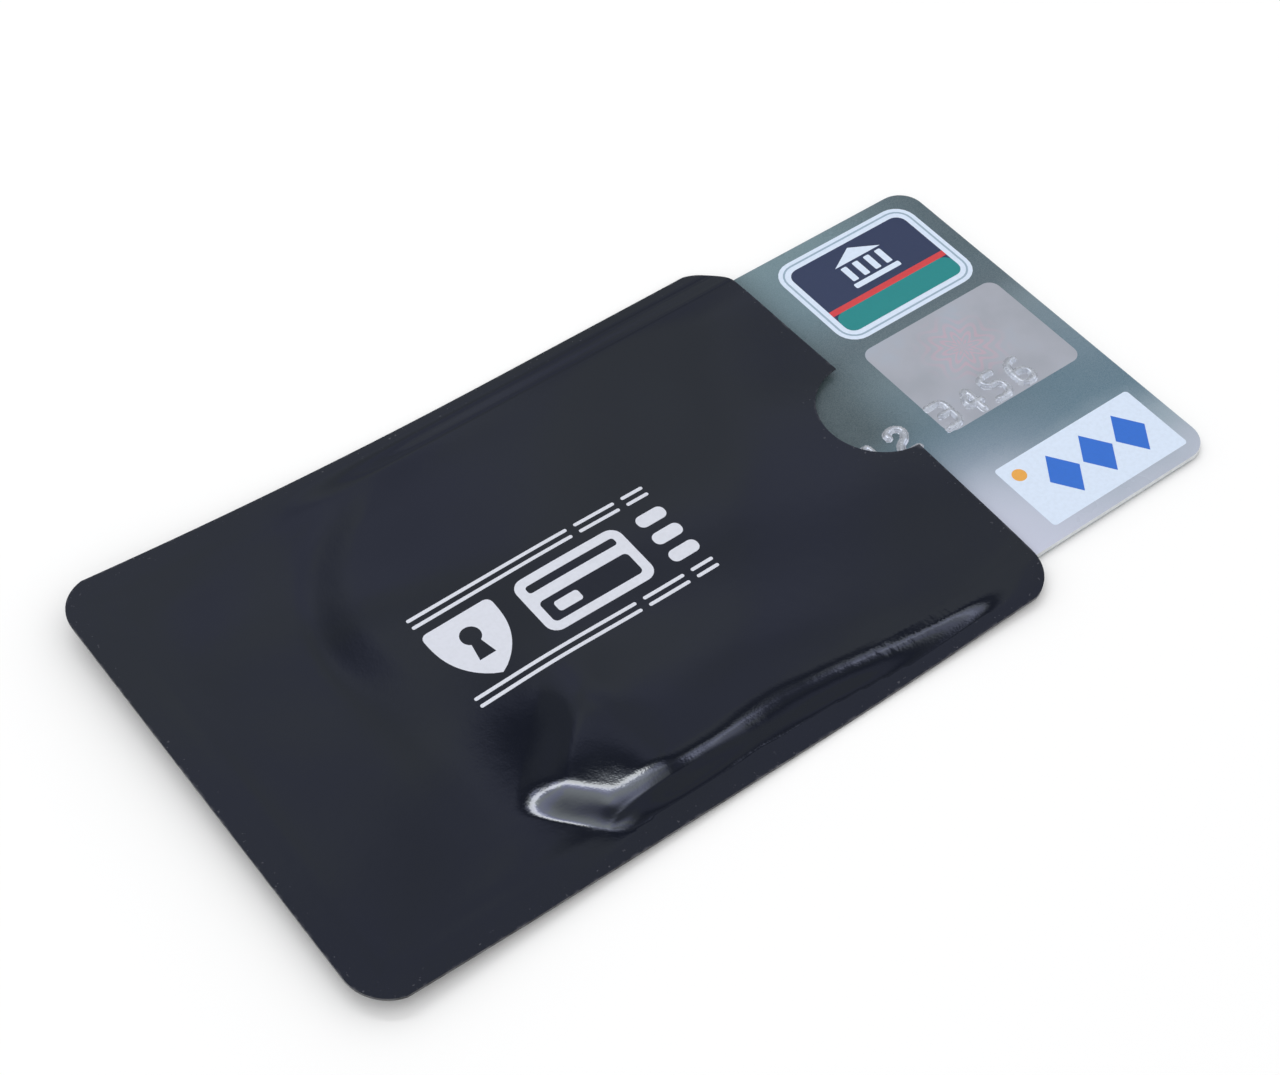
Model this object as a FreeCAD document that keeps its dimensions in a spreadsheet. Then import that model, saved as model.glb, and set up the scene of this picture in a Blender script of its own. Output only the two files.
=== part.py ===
"""Shielding card sleeve with a payment card part drawn out of it, in millimetres.

The sleeve is a pouch of two laminated panels, heat-sealed along both long sides and one short end.
Each panel is an outer film, an aluminium foil and an inner seal film. The seals bend up towards the
closed end, and more so at its far corner. The back panel has a flat floor under the card and sloped walls
up to the bent seals. The front panel leaves the seals over a sloped wall and crowns over the card, with a
thumb notch at the mouth.
The card is a laminate of two cores, an antenna inlay and two overlays, with a chip module, a hologram
patch, a magnetic stripe and a signature panel let into it. It slides along X in the pocket.

Frame: origin at the centre of the sleeve's underside, +X out of the mouth, +Z up from the back panel.
"""

import FreeCAD
import Part
import Sketcher

import math
import os
import re

# Driving dimensions. Lengths in millimetres, angles in degrees.
SIZES = {
    # Laminate of the sleeve, from outside to inside
    "film_thickness": 0.06,
    "foil_thickness": 0.04,
    "seal_film_thickness": 0.08,
    # Sleeve seals and outline
    "side_seal_width": 3.40,
    "end_seal_width": 4.00,
    "outline_corner_radius": 5.00,
    "outline_corner_overshoot": 0.30,
    "notch_radius": 7.40,
    "notch_depth": 7.10,
    # Pocket around the card
    "card_under_gap": 0.05,
    "card_over_gap": 0.15,
    "card_side_gap": 0.15,
    "card_end_gap": 0.20,
    "mouth_inset": 0.24,
    "wall_angle": 45.0,
    "crown_rise": 0.65,
    "end_ramp_length": 12.0,
    # Seals that bend up towards the closed end; the bend's line is turned about Z
    "curl_length": 53.50,
    "curl_radius": 665.0,
    "curl_start_angle": 0.60,
    "curl_turn": 11.0,
    "back_wall_angle": 55.0,
    # Card blank
    "card_length": 85.60,
    "card_width": 53.98,
    "card_corner_radius": 3.18,
    "overlay_thickness": 0.05,
    "front_core_thickness": 0.34,
    "inlay_thickness": 0.04,
    "back_core_thickness": 0.28,
    "card_drawn_out": 27.90,
    # Antenna track in the inlay
    "antenna_inset": 3.00,
    "antenna_track_width": 0.60,
    "antenna_track_gap": 0.60,
    # Chip module: its centre is measured from the card's left and top edges
    "chip_from_left": 15.06,
    "chip_from_top": 23.89,
    "chip_plate_length": 13.00,
    "chip_plate_width": 11.80,
    "chip_plate_corner_radius": 1.50,
    "chip_seat_gap": 0.03,
    "chip_carrier_thickness": 0.12,
    "chip_pad_thickness": 0.03,
    "chip_pad_pitch": 2.70,
    "chip_pad_split": 0.25,
    "chip_centre_pad_length": 3.40,
    "chip_pad_margin": 0.35,
    "chip_resin_length": 8.00,
    "chip_resin_width": 7.40,
    "chip_resin_thickness": 0.21,
    # Foil patch on the front, measured from the card's right edge and its middle line
    "patch_length": 21.10,
    "patch_width": 16.10,
    "patch_corner_radius": 1.50,
    "patch_from_right": 2.20,
    "patch_above_middle": 0.25,
    # Stripe and signature panel on the back, measured from the card's top and left edges
    "stripe_from_top": 4.00,
    "stripe_width": 12.70,
    "signature_from_top": 19.50,
    "signature_from_left": 7.00,
    "signature_length": 62.00,
    "signature_width": 10.00,
    "signature_corner_radius": 0.80,
    "inset_trim_thickness": 0.02,
    # How far cutting and trimming shapes run past what they cut
    "overrun": 2.00,
}
ANTENNA_TURNS = 4
CHIP_PAD_ROWS = 4

# Derived sizes, as expressions in the names above.
WALL = "(film_thickness + foil_thickness + seal_film_thickness)"
CARD_THICKNESS = "(2*overlay_thickness + front_core_thickness + inlay_thickness + back_core_thickness)"
CARD_BOTTOM = f"({WALL} + card_under_gap)"
CARD_TOP = f"({CARD_BOTTOM} + {CARD_THICKNESS})"
WALL_RISE = f"(card_under_gap + {CARD_THICKNESS} + card_over_gap)"
WALL_RUN = f"({WALL_RISE} / tan(wall_angle))"
POCKET_HALF_TOP = "(card_width/2 + card_side_gap)"
POCKET_HALF_FOOT = f"({POCKET_HALF_TOP} + {WALL_RUN})"
SLEEVE_HALF_WIDTH = f"({POCKET_HALF_FOOT} + side_seal_width)"
SLEEVE_LENGTH = f"(end_seal_width + {WALL_RUN} + card_end_gap + card_length + mouth_inset)"
MOUTH_X = f"({SLEEVE_LENGTH}/2)"
CLOSED_X = f"(-{SLEEVE_LENGTH}/2)"
CARD_CENTRE_X = f"({MOUTH_X} + card_drawn_out - card_length/2)"
POCKET_END_X = f"({CLOSED_X} + end_seal_width + {WALL_RUN})"
WALL_TOP = f"({WALL} + {WALL_RISE})"

# The bend, in a frame turned about Z by curl_turn
CURL_REACH = f"({SLEEVE_LENGTH}/2 + {SLEEVE_HALF_WIDTH}*sin(curl_turn) + overrun)"
CURL_SPAN = f"({SLEEVE_HALF_WIDTH} + {SLEEVE_LENGTH}/2*sin(curl_turn) + overrun)"
CURL_CENTRE_X = f"({CLOSED_X} + curl_length + curl_radius*sin(curl_start_angle))"
CURL_CENTRE_Z = "(curl_radius*cos(curl_start_angle))"


def curl_height(x, offset):
    """Height of the bend at x, for the interface that lies offset above the outer back face."""
    return f"({CURL_CENTRE_Z} - sqrt((curl_radius - ({offset}))^2 - ({x} - {CURL_CENTRE_X})^2))"


CURL_TOP = curl_height(f"-{CURL_REACH}", f"2*{WALL}")
TRIM_TOP = f"({CURL_TOP} + {WALL_TOP} + crown_rise + overrun)"

FRONT_CORE_BOTTOM = f"({CARD_BOTTOM} + overlay_thickness + back_core_thickness + inlay_thickness)"
FRONT_OVERLAY_BOTTOM = f"({FRONT_CORE_BOTTOM} + front_core_thickness)"
CHIP_X = "(chip_from_left - card_length/2)"
CHIP_Y = "(card_width/2 - chip_from_top)"
CHIP_CARRIER_TOP = f"({CARD_TOP} - chip_pad_thickness)"
CHIP_CARRIER_BOTTOM = f"({CHIP_CARRIER_TOP} - chip_carrier_thickness)"
PATCH_X = "(card_length/2 - patch_from_right - patch_length/2)"
STRIPE_Y = "(card_width/2 - stripe_from_top - stripe_width/2)"
SIGNATURE_X = "(signature_from_left + signature_length/2 - card_length/2)"
SIGNATURE_Y = "(card_width/2 - signature_from_top - signature_width/2)"

doc = FreeCAD.newDocument("CardSleeve")


def make_sheet():
    """Spreadsheet of the driving dimensions, one named cell each."""
    cells = doc.addObject("Spreadsheet::Sheet", "Sizes")
    for row, (name, value) in enumerate(SIZES.items(), start=1):
        cells.set(f"A{row}", name)
        cells.set(f"B{row}", str(value))
        cells.setAlias(f"B{row}", name)
    doc.recompute()
    return cells


sheet = make_sheet()


def bound(expression):
    """The expression with every size name pointing at its cell."""
    return re.sub(r"[a-z_]+", lambda word: f"Sizes.{word[0]}" if word[0] in SIZES else word[0], expression)


def value_of(expression):
    """The expression's present value."""
    return float(sheet.evalExpression(expression))


def new_body(name, x="0", z="0"):
    """A body that stands at x and z, both bound to the sheet."""
    body = doc.addObject("PartDesign::Body", name)
    body.Label = name
    body.setExpression("Placement.Base.x", bound(x))
    body.setExpression("Placement.Base.z", bound(z))
    return body


def new_sketch(body, name, role):
    """A sketch on one of the body's own origin planes."""
    sketch = body.newObject("Sketcher::SketchObject", name)
    plane = next(f for f in body.Origin.OriginFeatures if f.Role == role)
    sketch.AttachmentSupport = (plane, [""])
    sketch.MapMode = "FlatFace"
    return sketch


def hold_point(sketch, edge, end, x, y):
    """Dimensions one end of an edge from the sketch's origin."""
    for kind, axis, expression in (("DistanceX", -2, x), ("DistanceY", -1, y)):
        if expression == "0":
            sketch.addConstraint(Sketcher.Constraint("PointOnObject", edge, end, axis))
            continue
        size = Sketcher.Constraint(kind, -1, 1, edge, end, value_of(expression))
        index = sketch.addConstraint(size)
        sketch.setExpression(f"Constraints[{index}]", bound(expression))


def arc_through(start, middle, finish):
    """Circular arc through three points, and whether it runs counter-clockwise from start to finish."""
    centre = Part.Circle(start, middle, finish).Center
    turns_left = (finish - start).cross(middle - start).z < 0
    first, last = (start, finish) if turns_left else (finish, start)
    angles = [math.atan2(p.y - centre.y, p.x - centre.x) for p in (first, last)]
    circle = Part.Circle(centre, FreeCAD.Vector(0, 0, 1), (start - centre).Length)
    return Part.ArcOfCircle(circle, *angles), turns_left


def draw_loop(sketch, corners):
    """Closed outline through corners (x, y); where an arc leaves one, radius, mid x and mid y follow."""
    points = [FreeCAD.Vector(value_of(c[0]), value_of(c[1]), 0) for c in corners]
    ends = []
    for i, corner in enumerate(corners):
        start, finish = points[i], points[(i + 1) % len(points)]
        if len(corner) == 2:
            edge = sketch.addGeometry(Part.LineSegment(start, finish), False)
            ends.append((edge, 1, 2))
            continue
        middle = FreeCAD.Vector(value_of(corner[3]), value_of(corner[4]), 0)
        arc, turns_left = arc_through(start, middle, finish)
        edge = sketch.addGeometry(arc, False)
        ends.append((edge, 1, 2) if turns_left else (edge, 2, 1))
    for i, corner in enumerate(corners):
        edge, first, last = ends[i]
        following = ends[(i + 1) % len(ends)]
        sketch.addConstraint(Sketcher.Constraint("Coincident", edge, last, following[0], following[1]))
        hold_point(sketch, edge, first, corner[0], corner[1])
        if len(corner) > 2:
            index = sketch.addConstraint(Sketcher.Constraint("Radius", edge, value_of(corner[2])))
            sketch.setExpression(f"Constraints[{index}]", bound(corner[2]))


def rectangle(half_x, half_y, x="0", y="0"):
    """Corners of a plain rectangle about a centre, counter-clockwise from the lower left."""
    signs = ((-1, -1), (1, -1), (1, 1), (-1, 1))
    return [(f"{x} + {sx}*({half_x})", f"{y} + {sy}*({half_y})") for sx, sy in signs]


def rounded_rectangle(half_x, half_y, radius, x="0", y="0"):
    """Corners of a rectangle with tangent corner arcs, counter-clockwise from the lower left."""
    straight_x, straight_y = f"({half_x} - {radius})", f"({half_y} - {radius})"
    bulge = f"({radius} * sin(45))"
    corners = []
    for sx, sy, x_edge_first in ((-1, -1, True), (1, -1, False), (1, 1, True), (-1, 1, False)):
        on_side = (f"{x} + {sx}*({half_x})", f"{y} + {sy}*{straight_y}")
        on_end = (f"{x} + {sx}*{straight_x}", f"{y} + {sy}*({half_y})")
        middle = (f"{x} + {sx}*({straight_x} + {bulge})", f"{y} + {sy}*({straight_y} + {bulge})")
        first, second = (on_side, on_end) if x_edge_first else (on_end, on_side)
        corners.append((*first, radius, *middle))
        corners.append(second)
    return corners


def pad(body, sketch, name, length, side="One side"):
    """Pads a sketch by a bound length."""
    feature = body.newObject("PartDesign::Pad", name)
    feature.Profile = sketch
    feature.SideType = side
    feature.setExpression("Length", bound(length))
    doc.recompute()
    return feature


def pocket(body, sketch, name, depth=None, reverse=False):
    """Cuts a sketch out of the body, to a bound depth or right through both ways, and checks that it cut."""
    before = body.Shape.Volume
    feature = body.newObject("PartDesign::Pocket", name)
    feature.Profile = sketch
    feature.Reversed = reverse
    if depth is None:
        feature.Type = "ThroughAll"
        feature.SideType = "Symmetric"
    else:
        feature.setExpression("Length", bound(depth))
    doc.recompute()
    if not body.Shape.Volume < before:
        raise RuntimeError(f"{name} cut nothing")
    return feature


# Sleeve panels


def sleeve_outline(with_notch):
    """Panel outline. The corner die touches the end edge and overruns the long edge, which leaves a cusp."""
    radius, over = "outline_corner_radius", "outline_corner_overshoot"
    tangent_y = f"({SLEEVE_HALF_WIDTH} + {over} - {radius})"
    reach = f"({radius} - sqrt({radius}^2 - ({radius} - {over})^2))"
    middle_x = f"({radius} - {radius}*cos(35))"
    middle_y = f"({tangent_y} + {radius}*sin(35))"

    def corner(end_x, inward, side, end_first):
        on_end = (end_x, f"{side}*{tangent_y}")
        cusp = (f"{end_x} + {inward}*{reach}", f"{side}*{SLEEVE_HALF_WIDTH}")
        middle = (f"{end_x} + {inward}*{middle_x}", f"{side}*{middle_y}")
        first, second = (on_end, cusp) if end_first else (cusp, on_end)
        return [(*first, radius, *middle), second]

    half_chord = "sqrt(notch_radius^2 - (notch_radius - notch_depth)^2)"
    notch_bottom = f"({MOUTH_X} - notch_depth)"
    notch = [
        (MOUTH_X, f"-{half_chord}", "notch_radius", notch_bottom, "0"),
        (MOUTH_X, half_chord),
    ]
    return [
        *corner(CLOSED_X, 1, -1, end_first=True),
        *corner(MOUTH_X, -1, -1, end_first=False),
        *(notch if with_notch else []),
        *corner(MOUTH_X, -1, 1, end_first=True),
        *corner(CLOSED_X, 1, 1, end_first=False),
    ]


def rim_form(name, offset):
    """Solid under one interface of the seals, offset above the outer back face."""
    left = f"-{CURL_REACH}"
    depth = f"({CURL_CENTRE_Z} - ({offset}))"
    start_x = f"({CURL_CENTRE_X} - sqrt((curl_radius - ({offset}))^2 - {depth}^2))"
    middle_x = f"({start_x} + {left})/2"

    body = new_body(name)
    body.Placement.Rotation = FreeCAD.Rotation(FreeCAD.Vector(0, 0, 1), -value_of("curl_turn"))
    body.setExpression("Placement.Rotation.Angle", bound("-curl_turn"))
    along = new_sketch(body, f"{name}_along", "XZ_Plane")
    draw_loop(
        along,
        [
            (left, "-overrun"),
            (CURL_REACH, "-overrun"),
            (CURL_REACH, offset),
            (start_x, offset, f"(curl_radius - ({offset}))", middle_x, curl_height(middle_x, offset)),
            (left, curl_height(left, offset)),
        ],
    )
    pad(body, along, f"{name}_run", f"2*{CURL_SPAN}", side="Symmetric")
    return body


def floor_space(name, offset):
    """Space over one interface of the back panel's floor, which widens upwards between its walls."""
    spread = f"({WALL} - ({offset}))*tan(back_wall_angle/2)"
    wall_reach = f"({CURL_TOP} / tan(back_wall_angle))"
    half_floor = f"({POCKET_HALF_TOP} + {spread})"
    half_top = f"({half_floor} + {wall_reach})"
    end_x = f"({POCKET_END_X} - {spread})"
    start_x = f"({CLOSED_X} - 2*overrun)"

    body = new_body(name, z=offset)
    across = new_sketch(body, f"{name}_across", "YZ_Plane")
    draw_loop(
        across,
        [
            (f"-{half_floor}", "0"),
            (half_floor, "0"),
            (half_top, CURL_TOP),
            (f"-{half_top}", CURL_TOP),
        ],
    )
    pad(body, across, f"{name}_run", f"{SLEEVE_LENGTH} + 2*overrun", side="Symmetric")
    along = new_sketch(body, f"{name}_along", "XZ_Plane")
    draw_loop(
        along,
        [
            (start_x, "0"),
            (end_x, "0"),
            (f"{end_x} - {wall_reach}", CURL_TOP),
            (start_x, CURL_TOP),
        ],
    )
    pocket(body, along, f"{name}_closed_end")
    return body


def pocket_form(name, offset):
    """Solid under the front panel's walls and crown, raised by offset from the panel's inner face."""
    spread = f"({offset})*tan(wall_angle/2)"
    wall_top_z = f"({WALL_TOP} + {offset})"
    wall_reach = f"({wall_top_z} / tan(wall_angle))"
    half_top = f"({POCKET_HALF_TOP} + {spread})"
    half_foot = f"({half_top} + {wall_reach})"
    crown_radius = f"(({half_top})^2 + crown_rise^2) / (2*crown_rise)"

    body = new_body(name)
    across = new_sketch(body, f"{name}_across", "YZ_Plane")
    draw_loop(
        across,
        [
            (f"-{half_foot}", "0"),
            (half_foot, "0"),
            (half_top, wall_top_z, crown_radius, "0", f"{wall_top_z} + crown_rise"),
            (f"-{half_top}", wall_top_z),
        ],
    )
    pad(body, across, f"{name}_run", f"{SLEEVE_LENGTH} + 2*overrun", side="Symmetric")

    # The closed end: everything above the end wall and the ramp up to the crown comes off.
    top_x = f"({POCKET_END_X} - {spread})"
    ramp_slope = "(crown_rise / end_ramp_length)"
    clear_z = f"({wall_top_z} + crown_rise + overrun)"
    clear_x = f"({top_x} + ({clear_z} - {wall_top_z}) / {ramp_slope})"
    start_x = f"({CLOSED_X} - 2*overrun)"
    along = new_sketch(body, f"{name}_along", "XZ_Plane")
    draw_loop(
        along,
        [
            (start_x, "0"),
            (f"{top_x} - {wall_reach}", "0"),
            (top_x, wall_top_z),
            (clear_x, clear_z),
            (start_x, clear_z),
        ],
    )
    pocket(body, along, f"{name}_closed_end")
    return body


def combined(kind, name, base, tool):
    """Boolean of two shapes of the document."""
    result = doc.addObject(f"Part::{kind}", name)
    result.Base = base
    result.Tool = tool
    return result


def trim_prism(name, with_notch):
    """Prism with a panel's outline, which the panel's layers are trimmed to."""
    body = new_body(name, z="-overrun")
    sketch = new_sketch(body, f"{name}_outline", "XY_Plane")
    draw_loop(sketch, sleeve_outline(with_notch))
    pad(body, sketch, f"{name}_pad", f"{TRIM_TOP} + overrun")
    return body


def layer(name, upper_form, lower_form, trim):
    """The layer between two interfaces of a panel, cut to the panel's outline."""
    between = combined("Cut", f"{name}_untrimmed", upper_form, lower_form)
    result = combined("Common", name, between, trim)
    result.Label = name
    return result


def panel(names, forms, trim):
    """Three layers between four interfaces, from the lowest up."""
    return [layer(name, forms[i + 1], forms[i], trim) for i, name in enumerate(names)]


def sleeve_parts():
    """The six layers of the sleeve."""
    back_offsets = ["0", "film_thickness", "film_thickness + foil_thickness", WALL]
    front_offsets = ["0", "seal_film_thickness", "seal_film_thickness + foil_thickness", WALL]
    back_forms = []
    for i, offset in enumerate(back_offsets):
        rim = rim_form(f"back_rim_{i}", offset)
        space = floor_space(f"floor_space_{i}", offset)
        back_forms.append(combined("Cut", f"back_form_{i}", rim, space))
    front_forms = []
    for i, offset in enumerate(front_offsets):
        rim = rim_form(f"front_rim_{i}", f"{WALL} + {offset}")
        crown = pocket_form(f"pocket_form_{i}", offset)
        front_forms.append(combined("Fuse", f"front_form_{i}", rim, crown))
    back_names = ("back_film", "back_foil", "back_seal_film")
    front_names = ("front_seal_film", "front_foil", "front_film")
    back = panel(back_names, back_forms, trim_prism("back_trim", with_notch=False))
    front = panel(front_names, front_forms, trim_prism("front_trim", with_notch=True))
    return front + back


# Card


def card_sheet(name, bottom, thickness):
    """One sheet of the card, with the card's outline."""
    body = new_body(name, CARD_CENTRE_X, bottom)
    sketch = new_sketch(body, f"{name}_outline", "XY_Plane")
    draw_loop(sketch, rounded_rectangle("card_length/2", "card_width/2", "card_corner_radius"))
    pad(body, sketch, f"{name}_pad", thickness)
    return body


def lift_sketch(sketch, height):
    """Raises a sketch above its plane by a bound height."""
    sketch.setExpression("AttachmentOffset.Base.z", bound(height))


def plate(name, bottom, thickness, outline):
    """A flat piece of the card."""
    body = new_body(name, CARD_CENTRE_X, bottom)
    sketch = new_sketch(body, f"{name}_outline", "XY_Plane")
    draw_loop(sketch, outline)
    pad(body, sketch, f"{name}_pad", thickness)
    return body


def chip_plate_outline(gap="0"):
    """Outline of the chip module's plate, or of its seat with a gap all round."""
    return rounded_rectangle(
        f"(chip_plate_length/2 + {gap})",
        f"(chip_plate_width/2 + {gap})",
        f"(chip_plate_corner_radius + {gap})",
        CHIP_X,
        CHIP_Y,
    )


def chip_resin_outline(gap="0"):
    """Outline of the resin under the chip module, or of its cavity."""
    return rectangle(f"chip_resin_length/2 + {gap}", f"chip_resin_width/2 + {gap}", CHIP_X, CHIP_Y)


def patch_outline():
    """Outline of the foil patch."""
    half_length, half_width = "patch_length/2", "patch_width/2"
    return rounded_rectangle(half_length, half_width, "patch_corner_radius", PATCH_X, "patch_above_middle")


def stripe_outline(end_overrun="0"):
    """Outline of the magnetic stripe, which runs the whole length of the card."""
    return rectangle(f"card_length/2 + {end_overrun}", "stripe_width/2", "0", STRIPE_Y)


def signature_outline():
    """Outline of the signature panel."""
    return rounded_rectangle(
        "signature_length/2", "signature_width/2", "signature_corner_radius", SIGNATURE_X, SIGNATURE_Y
    )


def front_overlay():
    """Top laminate, opened for the chip module and recessed for the foil patch."""
    body = card_sheet("card_front_overlay", FRONT_OVERLAY_BOTTOM, "overlay_thickness")
    chip = new_sketch(body, "overlay_chip_window", "XY_Plane")
    draw_loop(chip, chip_plate_outline("chip_seat_gap"))
    pocket(body, chip, "overlay_chip_cut")
    patch = new_sketch(body, "overlay_patch_recess", "XY_Plane")
    lift_sketch(patch, "overlay_thickness")
    draw_loop(patch, patch_outline())
    pocket(body, patch, "overlay_patch_cut", "inset_trim_thickness")
    return body


def front_core():
    """Printed core, milled in two steps for the chip module."""
    body = card_sheet("card_front_core", FRONT_CORE_BOTTOM, "front_core_thickness")
    seat = new_sketch(body, "core_chip_seat", "XY_Plane")
    lift_sketch(seat, "front_core_thickness")
    draw_loop(seat, chip_plate_outline("chip_seat_gap"))
    pocket(body, seat, "core_seat_cut", f"{FRONT_OVERLAY_BOTTOM} - {CHIP_CARRIER_BOTTOM}")
    cavity = new_sketch(body, "core_chip_cavity", "XY_Plane")
    draw_loop(cavity, chip_resin_outline("chip_seat_gap"))
    pocket(body, cavity, "core_cavity_cut")
    return body


def antenna_outline():
    """Rectangular spiral track: its outer edge inwards from the first turn, then its inner edge back."""
    pitch = "(antenna_track_width + antenna_track_gap)"
    half_track = "antenna_track_width/2"

    def half_x(turn):
        return f"(card_length/2 - antenna_inset - {turn}*{pitch})"

    def half_y(turn):
        return f"(card_width/2 - antenna_inset - {turn}*{pitch})"

    path = [("-1", half_x(0), "0", "0")]
    for turn in range(ANTENNA_TURNS):
        path.append(("-1", half_x(turn), "-1", half_y(turn)))
        path.append(("1", half_x(turn), "-1", half_y(turn)))
        path.append(("1", half_x(turn), "1", half_y(turn)))
        path.append(("-1", half_x(turn + 1), "1", half_y(turn)))
    path.append(("-1", half_x(ANTENNA_TURNS), "0", "0"))

    def edge_point(point, outward):
        sign_x, x, sign_y, y = point
        moved_x = f"{sign_x}*({x} {outward} {half_track})"
        moved_y = "0" if sign_y == "0" else f"{sign_y}*({y} {outward} {half_track})"
        return moved_x, moved_y

    return [edge_point(p, "+") for p in path] + [edge_point(p, "-") for p in reversed(path)]


def inlay_and_antenna():
    """Inlay sheet and the etched antenna that fills its track."""
    bottom = f"({CARD_BOTTOM} + overlay_thickness + back_core_thickness)"
    inlay = card_sheet("card_inlay", bottom, "inlay_thickness")
    track = new_sketch(inlay, "inlay_track", "XY_Plane")
    draw_loop(track, antenna_outline())
    pocket(inlay, track, "inlay_track_cut")
    antenna = plate("antenna_coil", bottom, "inlay_thickness", antenna_outline())
    return [inlay, antenna]


def back_overlay():
    """Back laminate, recessed underneath for the stripe and the signature panel."""
    body = card_sheet("card_back_overlay", CARD_BOTTOM, "overlay_thickness")
    stripe = new_sketch(body, "overlay_stripe_recess", "XY_Plane")
    draw_loop(stripe, stripe_outline("overrun"))
    pocket(body, stripe, "overlay_stripe_cut", "inset_trim_thickness", reverse=True)
    panel = new_sketch(body, "overlay_signature_recess", "XY_Plane")
    draw_loop(panel, signature_outline())
    pocket(body, panel, "overlay_signature_cut", "inset_trim_thickness", reverse=True)
    return body


def chip_pads():
    """Contact pads, flush with the card: a long one in the middle, a column of short ones either side."""
    body = new_body("chip_contacts", CARD_CENTRE_X, CHIP_CARRIER_TOP)
    body.AllowCompound = True
    sketch = new_sketch(body, "contact_outlines", "XY_Plane")
    half_centre = "chip_centre_pad_length/2"
    half_plate = "(chip_plate_length/2 - chip_pad_margin)"
    column_start = f"({half_centre} + chip_pad_split)"
    column_half = f"(({half_plate} - {column_start})/2)"
    pad_half = "((chip_pad_pitch - chip_pad_split)/2)"
    column_length = f"({CHIP_PAD_ROWS}*chip_pad_pitch - chip_pad_split)"
    draw_loop(sketch, rectangle(half_centre, f"{column_length}/2", CHIP_X, CHIP_Y))
    for side in ("-1", "1"):
        column_x = f"{CHIP_X} + {side}*({column_start} + {column_half})"
        for row in range(CHIP_PAD_ROWS):
            row_y = f"{CHIP_Y} + ({row} - ({CHIP_PAD_ROWS} - 1)/2)*chip_pad_pitch"
            draw_loop(sketch, rectangle(column_half, pad_half, column_x, row_y))
    pad(body, sketch, "contact_pads", "chip_pad_thickness")
    return body


def card_parts():
    """The card's own pieces."""
    resin_bottom = f"({CHIP_CARRIER_BOTTOM} - chip_resin_thickness)"
    patch_bottom = f"({CARD_TOP} - inset_trim_thickness)"
    return [
        front_overlay(),
        front_core(),
        *inlay_and_antenna(),
        card_sheet("card_back_core", f"({CARD_BOTTOM} + overlay_thickness)", "back_core_thickness"),
        back_overlay(),
        chip_pads(),
        plate("chip_carrier", CHIP_CARRIER_BOTTOM, "chip_carrier_thickness", chip_plate_outline()),
        plate("chip_encapsulant", resin_bottom, "chip_resin_thickness", chip_resin_outline()),
        plate("hologram_patch", patch_bottom, "inset_trim_thickness", patch_outline()),
        plate("magnetic_stripe", CARD_BOTTOM, "inset_trim_thickness", stripe_outline()),
        plate("signature_panel", CARD_BOTTOM, "inset_trim_thickness", signature_outline()),
    ]


def check(parts):
    """Stops the build if any object failed or any part has no valid solid."""
    for item in doc.Objects:
        if "Invalid" in item.State or "Error" in item.State:
            raise RuntimeError(f"{item.Label} failed: {item.State}")
        if item.isDerivedFrom("Sketcher::SketchObject") and not item.FullyConstrained:
            raise RuntimeError(f"{item.Label} isn't fully dimensioned")
    for part in parts:
        if part.Shape.isNull() or not part.Shape.isValid() or not part.Shape.Solids:
            raise RuntimeError(f"{part.Label} has no valid solid")


def export(parts):
    """Writes each part's solids to its own STEP file."""
    os.makedirs("parts", exist_ok=True)
    for part in parts:
        part.Shape.exportStep(f"parts/{part.Label}.step")
        box = part.Shape.BoundBox
        volume = f"{len(part.Shape.Solids)} solids, {part.Shape.Volume:.3f} mm3"
        print(f"{part.Label}: {volume}, z {box.ZMin:.3f} to {box.ZMax:.3f}")


all_parts = sleeve_parts() + card_parts()
doc.recompute()
check(all_parts)
export(all_parts)
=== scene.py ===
"""Looks of a shielding card sleeve with a payment card half drawn out of it.

The sleeve's two laminates are formed from height functions, and the card keeps its CAD
pieces and gets its print, its embossed number and its stamped patch. Lengths are in
millimetres until a mesh is made, and metres after that.
"""

import math

import bpy
import numpy as np
from mathutils import Matrix, Vector
from mathutils.geometry import delaunay_2d_cdt


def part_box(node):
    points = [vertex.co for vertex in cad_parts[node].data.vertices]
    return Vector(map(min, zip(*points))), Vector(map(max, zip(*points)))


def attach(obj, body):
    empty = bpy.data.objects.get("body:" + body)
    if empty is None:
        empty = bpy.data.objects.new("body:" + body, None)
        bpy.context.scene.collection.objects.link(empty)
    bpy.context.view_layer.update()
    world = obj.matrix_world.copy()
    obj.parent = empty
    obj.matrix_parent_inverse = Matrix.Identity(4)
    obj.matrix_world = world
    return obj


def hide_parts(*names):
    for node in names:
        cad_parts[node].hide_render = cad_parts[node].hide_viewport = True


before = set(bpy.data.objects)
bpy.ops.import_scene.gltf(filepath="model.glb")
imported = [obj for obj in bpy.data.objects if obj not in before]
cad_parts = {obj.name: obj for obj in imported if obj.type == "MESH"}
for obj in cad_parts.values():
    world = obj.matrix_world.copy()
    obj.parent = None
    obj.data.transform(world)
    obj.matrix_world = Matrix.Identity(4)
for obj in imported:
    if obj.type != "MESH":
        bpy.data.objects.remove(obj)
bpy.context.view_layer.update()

MM = 0.001

# Sleeve sizes
SLEEVE_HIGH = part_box("back_film")[1]
HALF_LENGTH = SLEEVE_HIGH[0] / MM
HALF_WIDTH = SLEEVE_HIGH[1] / MM
CORNER_ALONG = 4.0
CORNER_ACROSS = 5.2
NOTCH_RADIUS = 7.4
NOTCH_DEPTH = 7.1
FILM = 0.06
FOIL = 0.04
SEAL = 0.08
WALL = FILM + FOIL + SEAL

# Card sizes
CARD_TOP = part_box("card_front_overlay")[1][2] / MM
PATCH_LOW, PATCH_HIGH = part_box("hologram_patch")
INK = 0.012


# Small maths

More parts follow.
